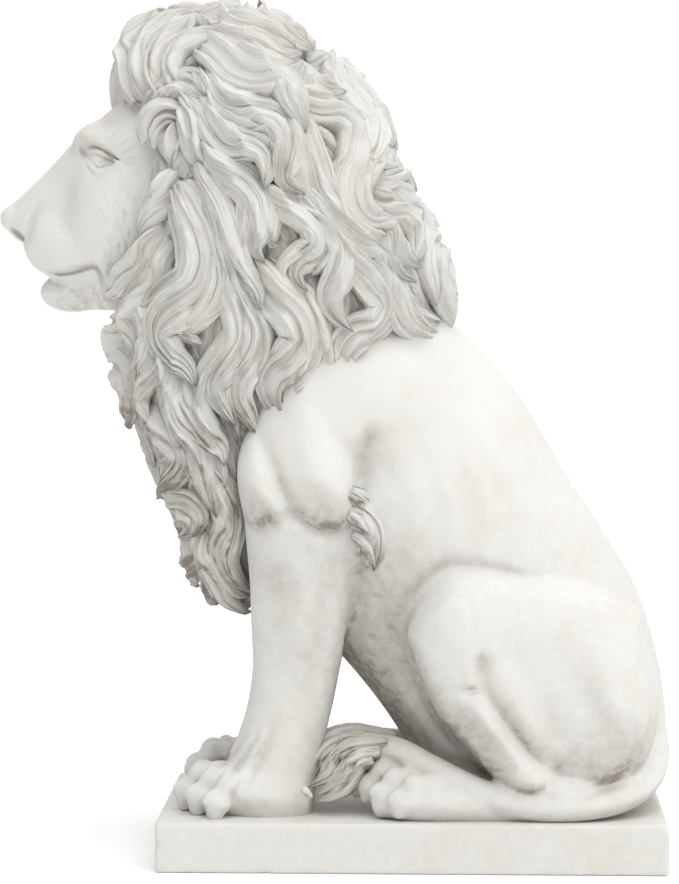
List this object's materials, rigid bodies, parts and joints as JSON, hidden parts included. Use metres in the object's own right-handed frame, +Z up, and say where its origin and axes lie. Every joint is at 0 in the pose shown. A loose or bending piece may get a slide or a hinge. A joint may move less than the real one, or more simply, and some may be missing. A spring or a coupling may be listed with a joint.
{
  "type": "lion statue",
  "caption": "Seated lion garden statue in matte white cast-stone finish, full wavy mane, tail wrapped round the haunch, cast in one with a low rectangular plinth.",
  "frame": {"origin": "middle of the plinth's flat underside", "axes": "+Z up; the lion looks along -X; its left flank, round which the tail is wrapped, faces -Y"},
  "size_m": [0.5704, 0.2518, 0.7206],
  "materials": {
    "aged_white_stone": "matte cast stone-filled resin, off-white, with a grey-brown wash left in the hollows"
  },
  "bodies": {
    "root": {"lion_statue": "aged_white_stone"}
  },
  "joints": []
}
